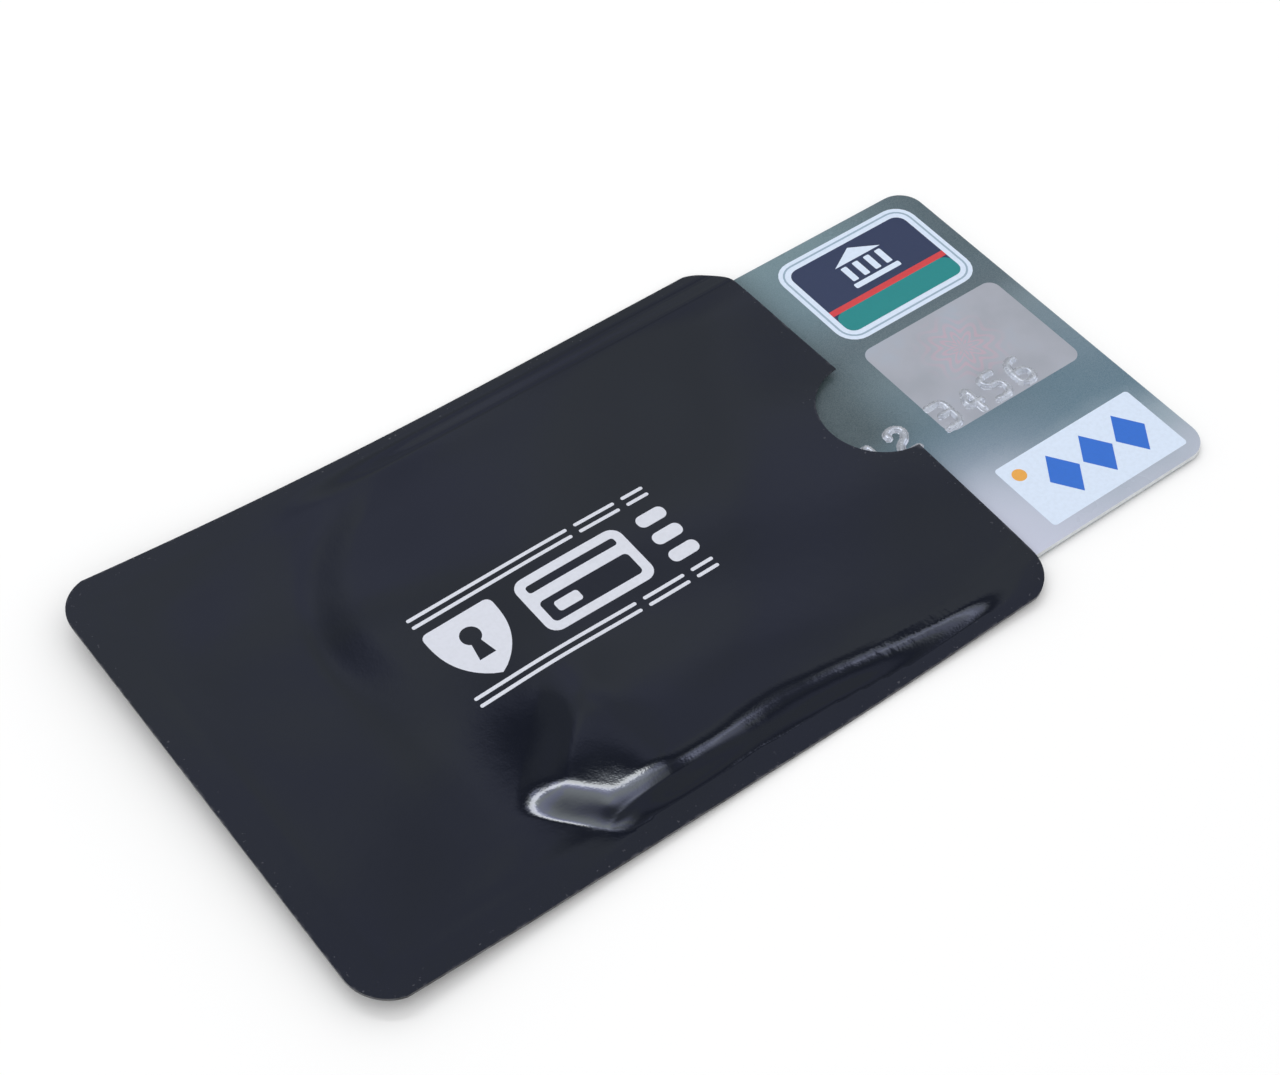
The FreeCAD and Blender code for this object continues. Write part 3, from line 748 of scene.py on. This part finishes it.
def signature_material():
    """Matt white writing panel with a fine wavy tint."""
    s = Shader("writing_panel", IOR=1.45)
    wave = s.math("SINE", s.product(s.axis("X"), 2.2))
    height = s.math("ADD", s.axis("Y"), s.product(wave, 0.25))
    lines = s.math("SINE", s.product(height, 9.0))
    tint = s.between(lines, 0.5, 0.9, 0, 0.5)
    s.colour(s.mix(tint, srgb(226, 224, 216), srgb(176, 190, 204)))
    s.roughness(s.between(s.noise(0.4, 2), 0.3, 0.7, 0.62, 0.78))
    s.bump(s.noise(0.12, 2), 0.004)
    return s.material


FILM_FINISH = film_material()
FOIL_FINISH = foil_material()
SEAL_FINISH = seal_material()
WHITE_INK = ink_material("white_ink", srgb(212, 215, 225))
LABEL_INK = ink_material("label_white", srgb(214, 227, 245))
LINE_INK = ink_material("line_ink", srgb(150, 172, 190))
NAVY_INK = ink_material("navy_ink", srgb(38, 50, 82))
TEAL_INK = ink_material("teal_ink", srgb(10, 132, 132))
RED_INK = ink_material("red_ink", srgb(208, 58, 62))
BLUE_INK = ink_material("blue_ink", srgb(36, 106, 204))
ORANGE_INK = ink_material("orange_ink", srgb(232, 166, 70))
TIPPING = plain_material("number_tipping", srgb(176, 180, 186), srgb(206, 209, 214), 0.8, 0.26, 0.001, 0.45)
CARD_CORE = plain_material("card_core", srgb(196, 200, 204), srgb(214, 217, 220), 0.8, 0.5, 0.003)

CARD_FINISH = {
    "card_front_overlay": card_material(),
    "card_back_overlay": plain_material(
        "card_back_laminate", srgb(96, 114, 120), srgb(112, 130, 136), 5, 0.32, 0.002),
    "card_front_core": CARD_CORE,
    "card_back_core": CARD_CORE,
    "card_inlay": plain_material(
        "card_inlay", srgb(206, 206, 200), srgb(220, 220, 214), 0.8, 0.5, 0.003),
    "antenna_coil": plain_material(
        "antenna_metal", (0.55, 0.27, 0.16, 1), (0.66, 0.34, 0.21, 1), 0.5, 0.34, 0.002, 1.0),
    "chip_contacts": plain_material(
        "contact_gold", (0.72, 0.50, 0.20, 1), (0.84, 0.62, 0.28, 1), 0.6, 0.26, 0.002, 1.0, (0.2, 1, 1)),
    "chip_carrier": plain_material(
        "chip_epoxy", (0.10, 0.09, 0.05, 1), (0.16, 0.13, 0.07, 1), 0.5, 0.45, 0.003),
    "chip_encapsulant": plain_material(
        "chip_resin", (0.010, 0.010, 0.011, 1), (0.02, 0.02, 0.02, 1), 0.8, 0.5, 0.004),
    "hologram_patch": hologram_material(),
    "magnetic_stripe": stripe_material(),
    "signature_panel": signature_material(),
}

for node, material in CARD_FINISH.items():
    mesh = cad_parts[node].data
    mesh.materials.clear()
    mesh.materials.append(material)


# Sleeve panels

def grid_lines(low, high, step, inner_low, inner_high, inner_step):
    """Places from low to high, with another step in one stretch."""
    return np.concatenate([
        np.arange(low, inner_low, step),
        np.arange(inner_low, inner_high, inner_step),
        np.arange(inner_high, high, step),
    ])


def panel(name, loop, grid, height, up):
    """Film, foil and seal film of one panel, from its outer face inwards."""
    flat, faces = triangulated([loop], *grid)
    x, y = flat[:, 0], flat[:, 1]
    outer = height(x, y)
    normals = normals_of(height, x, y)
    thick = 1 / normals[:, 2]
    rim = edge_distance(flat, [loop])
    depth = 0.0
    layers = (("film", FILM, "sleeve_film", FILM_FINISH),
              ("foil", FOIL, "shield_foil", FOIL_FINISH),
              ("seal_film", SEAL, "seal_film", SEAL_FINISH))
    for layer, thickness, slot, finish in layers:
        first = outer - up * depth * thick
        depth += thickness
        second = outer - up * depth * thick
        low, high = np.minimum(first, second), np.maximum(first, second)
        piece = solid(f"sleeve_{name}_{layer}", flat, faces, low, high, rim, normals)
        finish_piece(piece, "sleeve", slot, finish, f"{name}_{layer}")


FRONT_GRID = (
    grid_lines(-HALF_LENGTH + 0.5, HALF_LENGTH, 0.7, -24.0, -5.0, 0.4),
    grid_lines(-HALF_WIDTH + 0.4, HALF_WIDTH, 0.6, -HALF_WIDTH + 0.4, -16.0, 0.28),
)
BACK_GRID = (
    grid_lines(-HALF_LENGTH + 0.4, HALF_LENGTH, 1.2, -HALF_LENGTH + 0.4, -39.0, 0.4),
    grid_lines(-31.2, 31.3, 0.4, -26.4, 26.4, 1.5),
)
panel("front", panel_outline(True), FRONT_GRID, front_height, 1)
panel("back", panel_outline(False), BACK_GRID, back_height, -1)


# Print on the sleeve: a card and a shield between fine rules

def shield(cx, top, tip, half):
    """Shield with a flat top and sides that draw in to a pointed foot."""
    corner = 0.8
    down = np.linspace(0.0, 1.0, 18)[1:]
    right = [(cx + half * (1 - s**2.6) ** 0.85, top - corner - s * (top - corner - tip)) for s in down]
    left = [(2 * cx - px, py) for px, py in right[:-1]]
    crown = arc(cx - half + corner, top - corner, corner, 180, 90, 5)
    crown += arc(cx + half - corner, top - corner, corner, 90, 0, 5)
    return left[::-1] + crown + right


def keyhole(cx, cy, radius, half, foot):
    """Round head with a flared slot below it."""
    head = arc(cx, cy, radius, -60, 240, 20)
    return head + [(cx - half, foot), (cx + half, foot)]


film_print("sleeve_print_shield", [
    shield(-11.5, 3.9, -5.3, 4.5),
    keyhole(-11.5, 0.8, 1.25, 1.05, -2.5),
], WHITE_INK)
film_print("sleeve_print_card", [
    rounded(-4.4, -4.6, 10.0, 3.7, 1.5),
    rounded(-3.2, -3.4, 8.8, -0.1, 0.6),
    rounded(-3.2, 1.4, 8.8, 2.5, 0.4),
], WHITE_INK)
film_print("sleeve_print_chip", [rounded(-1.9, -2.5, 1.3, -1.0, 0.4)], WHITE_INK)
film_print("sleeve_print_bars", [
    rounded(12.2, -4.6 + 3.0 * k, 16.0, -2.8 + 3.0 * k, 0.8)
    for k in range(3)
], WHITE_INK)
film_print("sleeve_print_rules", [
    rounded(x, y, x + length, y + 0.45, 0.2, 4)
    for y in (5.1, 6.2, -6.6, -7.7)
    for x, length in ((-16.0, 21.4), (6.4, 5.6), (13.0, 3.0))
], WHITE_INK)


# Print on the card

def diamond(cx, cy, half_x, half_y):
    """Outline of a lozenge."""
    return [(cx - half_x, cy), (cx, cy - half_y), (cx + half_x, cy), (cx, cy + half_y)]


def columns(cx, base):
    """Pictogram of a gabled front on four columns."""
    gable = [(cx - 3.6, base + 4.2), (cx + 3.6, base + 4.2), (cx, base + 6.2)]
    steps = rounded(cx - 3.6, base, cx + 3.6, base + 0.8, 0.2, 3)
    shafts = [
        rounded(cx + k - 0.45, base + 1.2, cx + k + 0.45, base + 3.8, 0.15, 3)
        for k in (-2.7, -0.9, 0.9, 2.7)
    ]
    return [gable, steps] + shafts


def print_badge(x0, y0, x1, y1):
    """Bordered badge with a band, a rule and a motif, in three levels of ink."""
    border = 1.5
    band_top = 4.9

    def drawn_in(inset, radius):
        return rounded(x0 + inset, y0 + inset, x1 - inset, y1 - inset, radius)

    def stripe(bottom, top, radius):
        return rounded(x0 + border, y0 + bottom, x1 - border, y0 + top, radius)

    card_print("card_badge_border", [drawn_in(0, 2.8)], LABEL_INK)
    card_print("card_badge_line", [drawn_in(0.55, 2.3), drawn_in(0.8, 2.05)], LINE_INK, level=1)
    card_print("card_badge_field", [drawn_in(border, 1.5)], NAVY_INK, level=1)
    card_print("card_badge_band", [stripe(border, band_top, 1.3)], TEAL_INK, level=2)
    card_print("card_badge_rule", [stripe(band_top, 5.8, 0.1)], RED_INK, level=2)
    card_print("card_badge_motif", columns((x0 + x1) / 2, y0 + 6.9), LABEL_INK, level=2)


def print_panel(x0, y0, x1, y1):
    """Plain panel with three lozenges and a dot."""
    card_print("card_panel", [rounded(x0, y0, x1, y1, 0.5)], LABEL_INK)
    lozenges = [diamond(x0 + 6.4 + 5.2 * k, (y0 + y1) / 2, 2.3, 3.3) for k in range(3)]
    card_print("card_panel_motif", lozenges, BLUE_INK, level=1)
    card_print("card_panel_dot", [circle(x0 + 2.0, y1 - 2.2, 0.9)], ORANGE_INK, level=1)


print_badge(50.0, 9.9, 71.2, 25.3)
print_panel(50.2, -25.2, 71.3, -15.0)


# Embossed number

NUMBER = ("1234", "5678", "9012", "3456")
DIGIT_WIDTH = 2.05
DIGIT_HEIGHT = 3.85
DIGIT_PITCH = 3.92
GROUP_PITCH = 18.45
DIGIT_BASE = -7.1
LAST_GROUP = 50.55
DIGIT_CORNER = 0.55
STROKE_TOP = 0.16
STROKE_FOOT = 0.50
RELIEF = 0.36
RELIEF_STEP = 0.12
SUNK = 0.02
LIFT = 0.004

# Corners of each digit's strokes as shares of its width and height; True closes a stroke
DIGITS = {
    "0": [([(0, 0), (1, 0), (1, 1), (0, 1)], True)],
    "1": [([(0.1, 0.78), (0.5, 1), (0.5, 0)], False), ([(0.1, 0), (0.9, 0)], False)],
    "2": [([(0, 0.8), (0, 1), (1, 1), (1, 0.58), (0, 0.3), (0, 0), (1, 0)], False)],
    "3": [([(0, 1), (1, 1), (1, 0), (0, 0)], False), ([(0.3, 0.53), (1, 0.53)], False)],
    "4": [([(0.75, 0), (0.75, 1), (0, 0.32), (1.05, 0.32)], False)],
    "5": [([(0.95, 1), (0, 1), (0, 0.57), (1, 0.57), (1, 0), (0, 0)], False)],
    "6": [([(0.85, 1), (0.3, 1), (0, 0.6), (0, 0), (1, 0), (1, 0.52), (0, 0.52)], False)],
    "7": [([(0, 1), (1, 1), (0.35, 0)], False)],
    "8": [
        ([(0, 0), (1, 0), (1, 0.53), (0, 0.53)], True),
        ([(0.08, 0.53), (0.92, 0.53), (0.92, 1), (0.08, 1)], True),
    ],
    "9": [([(0.15, 0), (0.7, 0), (1, 0.4), (1, 1), (0, 1), (0, 0.48), (1, 0.48)], False)],
}


def eased_corners(points, closed, cut):
    """The stroke's points with each corner cut twice, so that it turns in small steps."""
    largest_share = 0.4
    for length in (cut, cut / 3):
        eased = []
        for k, point in enumerate(points):
            here = np.array(point)
            if not closed and k in (0, len(points) - 1):
                eased.append(here)
                continue
            for other in (points[k - 1], points[(k + 1) % len(points)]):
                side = np.array(other) - here
                reach = np.hypot(*side)
                eased.append(here + side * min(length / reach, largest_share))
        points = eased
    return points + points[:1] if closed else points


def digit_relief(digit, left):
    """Flat triangles over one digit's strokes, and the height that the strokes stand up there."""
    size = np.array((DIGIT_WIDTH, DIGIT_HEIGHT))
    origin = np.array((left, DIGIT_BASE))
    margin = STROKE_FOOT + RELIEF_STEP
    columns_x = np.arange(left - margin, left + DIGIT_WIDTH + 2 * margin, RELIEF_STEP)
    rows_y = np.arange(DIGIT_BASE - margin, DIGIT_BASE + DIGIT_HEIGHT + 2 * margin, RELIEF_STEP)
    gx, gy = np.meshgrid(columns_x, rows_y)
    places = np.stack([gx.ravel(), gy.ravel()], 1)
    far = np.full(len(places), FAR_AWAY)
    for shares, closed in DIGITS[digit]:
        corners = [origin + size * np.array(share) for share in shares]
        far = np.minimum(far, line_distance(places, eased_corners(corners, closed, DIGIT_CORNER)))
    height = RELIEF * (1 - ease(far, STROKE_TOP, STROKE_FOOT))
    across = len(columns_x)
    first = (np.arange(len(rows_y) - 1)[:, None] * across + np.arange(across - 1)).ravel()
    lower = np.stack([first, first + 1, first + across + 1], 1)
    upper = np.stack([first, first + across + 1, first + across], 1)
    cells = np.concatenate([lower, upper])
    cells = cells[(height[cells] > 0).any(axis=1)]
    used, faces = np.unique(cells, return_inverse=True)
    return places[used], faces.reshape(-1, 3), height[used]


def emboss_number(groups):
    """All digits of the number as one piece that stands up from the card."""
    flats, faces, heights = [], [], []
    count = 0
    for g, group in enumerate(groups):
        for d, digit in enumerate(group):
            left = LAST_GROUP + (g - len(groups) + 1) * GROUP_PITCH + d * DIGIT_PITCH
            flat, cells, height = digit_relief(digit, left)
            flats.append(flat)
            faces.append(cells + count)
            heights.append(height)
            count += len(flat)
    ground = np.full(count, CARD_TOP)
    high = ground + LIFT + np.concatenate(heights)
    number = solid("card_number", np.concatenate(flats), np.concatenate(faces), ground - SUNK, high)
    finish_piece(number, "card", "hologram_foil", TIPPING)


emboss_number(NUMBER)


# Floor, light and camera: metres here, but the camera's distance and target are in millimetres

STAGE_REACH = 2.0
STAGE_DROP = -0.00003
STAGE_COLOUR = (0.97, 0.97, 0.97, 1)

STRIP_AZIMUTH = 51.3
STRIP_ELEVATION = 68.8
STRIP_DISTANCE = 0.8
STRIP_SIZE = (0.62, 0.046)
STRIP_SHIFT = 0.29
STRIP_POWER = 0.84
STRIP_COLOUR = (0.96, 0.98, 1.0)

# Horizontal directions that the room's brightness follows
LEAN_AXIS = (0.8, 1.0, 0.0)
SIDE_AXIS = (1.0, -0.8, 0.0)
BEYOND_LEVEL = 3.7
GLOW_LEVEL = 4.2
BAND_LEVEL = 0.05
CEILING_LEVEL = 0.45
REAR_LEVEL = 0.30
HORIZON_LEVEL = 0.5
COOL_CAST = (0.89, 0.96, 1.32, 1)
MILD_CAST = (0.97, 1.06, 1.13, 1)
EVEN_COLOUR = (0.95, 0.95, 0.95, 1)
WHITE = (1, 1, 1, 1)

CAMERA_AZIMUTH = -38.247
CAMERA_ELEVATION = 50.287
CAMERA_ROLL = 1.099
CAMERA_DISTANCE = 282.08
CAMERA_TARGET = (12.411, 2.056, 0.0)
CAMERA_LENS = 70.79
CAMERA_SENSOR = 36.0
CAMERA_CLIP_START = 0.005


def stage_floor():
    """A pale floor, a hair under the sleeve."""
    mesh = bpy.data.meshes.new("floor")
    corners = ((-1, -1), (1, -1), (1, 1), (-1, 1))
    mesh.from_pydata([(x * STAGE_REACH, y * STAGE_REACH, STAGE_DROP) for x, y in corners], [], [(0, 1, 2, 3)])
    floor = bpy.data.objects.new("floor", mesh)
    bpy.context.scene.collection.objects.link(floor)
    s = Shader("pale_floor", Base_Color=STAGE_COLOUR, Roughness=1.0, IOR=1.0)
    mesh.materials.append(s.material)


def stand(name, data, axes, place):
    """A lamp or camera at a place in metres, its own axes along the given ones."""
    holder = bpy.data.objects.new(name, data)
    bpy.context.scene.collection.objects.link(holder)
    holder.matrix_world = Matrix(axes).transposed().to_4x4()
    holder.location = place
    return holder


def strip_light():
    """A long narrow lamp above and beyond the sleeve."""
    lamp = bpy.data.lights.new("strip", "AREA")
    lamp.shape = "RECTANGLE"
    lamp.size, lamp.size_y = STRIP_SIZE
    lamp.energy = STRIP_POWER
    lamp.color = STRIP_COLOUR
    a, e = math.radians(STRIP_AZIMUTH), math.radians(STRIP_ELEVATION)
    out = Vector((math.cos(a) * math.cos(e), math.sin(a) * math.cos(e), math.sin(e)))
    side = Vector((-math.sin(a), math.cos(a), 0))
    stand("strip", lamp, (side, out.cross(side), out), out * STRIP_DISTANCE + side * STRIP_SHIFT)


def room_level(w, direction, cloud):
    """How bright the room is that gloss mirrors, by direction."""
    parts = w.node("ShaderNodeSeparateXYZ")
    w.link(direction, parts.inputs[0])
    east = parts.outputs["X"]
    up = parts.outputs["Z"]

    def along(axis):
        made = w.node("ShaderNodeVectorMath", operation="DOT_PRODUCT")
        w.link(direction, made.inputs[0])
        made.inputs[1].default_value = axis
        return made.outputs["Value"]

    lean = along(LEAN_AXIS)
    sideways = along(SIDE_AXIS)

    # A bright wall beyond the strip lamp and a glow round the lamp, both kept to one side of the room
    beyond = w.between(lean, -0.10, 0.45, 0.0, BEYOND_LEVEL)
    beyond = w.product(beyond, w.between(lean, 0.465, 0.50, 1.0, 0.0))
    glow = w.between(lean, 0.40, 0.49, 0.0, GLOW_LEVEL)
    glow = w.product(glow, w.between(lean, 0.525, 0.585, 1.0, 0.0))
    aside = w.product(w.between(east, 0.21, 0.30, 1.0, 0.35), w.between(east, 0.30, 0.36, 1.0, 0.12))
    aside = w.math("MAXIMUM", aside, w.between(east, 0.425, 0.455, 0.0, 0.45))
    aside = w.product(aside, w.between(sideways, -0.52, -0.32))
    lit = w.product(w.math("ADD", beyond, glow), aside)

    # A dark band next to the lamp, then a grey clouded ceiling
    ceiling = w.product(
        w.between(lean, 0.60, 0.67, BAND_LEVEL, CEILING_LEVEL),
        w.between(cloud, 0.3, 0.7, 0.88, 1.18),
        w.between(east, 0.19, 0.25, 0.45, 1.0),
        w.between(lean, 0.95, 1.08, 1.0, 0.6),
    )
    room = w.math("ADD", w.math("ADD", lit, ceiling), w.between(lean, 0.10, -0.10, 0.0, REAR_LEVEL))

    # Windows on the other sides
    right = w.between(sideways, 0.75, 0.95)
    left = w.between(sideways, -0.75, -0.95)
    rear = w.between(lean, -0.5, -0.7)
    around = w.math("MAXIMUM", w.math("MAXIMUM", left, right), rear)
    window = w.product(w.between(up, 0.30, 0.50, 0.5, 1.3), w.between(up, 0.55, 0.75, 1.0, 0.3))
    room = w.math("MAXIMUM", room, w.product(around, window))
    return w.math("MAXIMUM", room, w.between(up, 0.0, 0.12, HORIZON_LEVEL, 0.0))


def studio_world():
    """White to the eye, even for matt surfaces, and for gloss a grey room with a dark band overhead."""
    world = bpy.data.worlds.new("studio")
    bpy.context.scene.world = world
    world.use_nodes = True
    world.node_tree.nodes.clear()
    w = Nodes(world.node_tree)

    def background(colour):
        made = w.node("ShaderNodeBackground")
        w.set(made.inputs["Color"], colour)
        return made.outputs[0]

    def chosen(factor, off, on):
        made = w.node("ShaderNodeMixShader")
        for socket, source in zip(made.inputs, (factor, off, on)):
            w.link(source, socket)
        return made.outputs[0]

    direction = w.node("ShaderNodeTexCoord").outputs["Generated"]
    cloud = w.node("ShaderNodeTexNoise")
    cloud.inputs["Scale"].default_value = 9.0
    cloud.inputs["Detail"].default_value = 1.0
    w.link(direction, cloud.inputs["Vector"])
    cast = w.mix(w.between(cloud.outputs["Color"], 0.40, 0.60), COOL_CAST, MILD_CAST)
    level = room_level(w, direction, cloud.outputs["Fac"])
    gloss = background(w.mix(1.0, cast, level, "MULTIPLY"))

    path = w.node("ShaderNodeLightPath").outputs
    unseen = chosen(path["Is Glossy Ray"], background(EVEN_COLOUR), gloss)
    seen = w.math("MAXIMUM", path["Is Camera Ray"], path["Is Transmission Ray"])
    surface = chosen(seen, unseen, background(WHITE))
    w.link(surface, w.node("ShaderNodeOutputWorld").inputs["Surface"])


def camera():
    """Camera at the photograph's viewing angle."""
    data = bpy.data.cameras.new("camera")
    data.lens = CAMERA_LENS
    data.sensor_width = CAMERA_SENSOR
    data.sensor_fit = "HORIZONTAL"
    data.clip_start = CAMERA_CLIP_START
    a, e, r = (math.radians(v) for v in (CAMERA_AZIMUTH, CAMERA_ELEVATION, CAMERA_ROLL))
    back = Vector((math.sin(a) * math.cos(e), -math.cos(a) * math.cos(e), math.sin(e)))
    right = Vector((0, 0, 1)).cross(back).normalized()
    up = back.cross(right)
    right, up = math.cos(r) * right + math.sin(r) * up, math.cos(r) * up - math.sin(r) * right
    place = (Vector(CAMERA_TARGET) + CAMERA_DISTANCE * back) * MM
    bpy.context.scene.camera = stand("camera", data, (right, up, back), place)


stage_floor()
strip_light()
studio_world()
camera()
bpy.context.scene.view_settings.view_transform = "Standard"
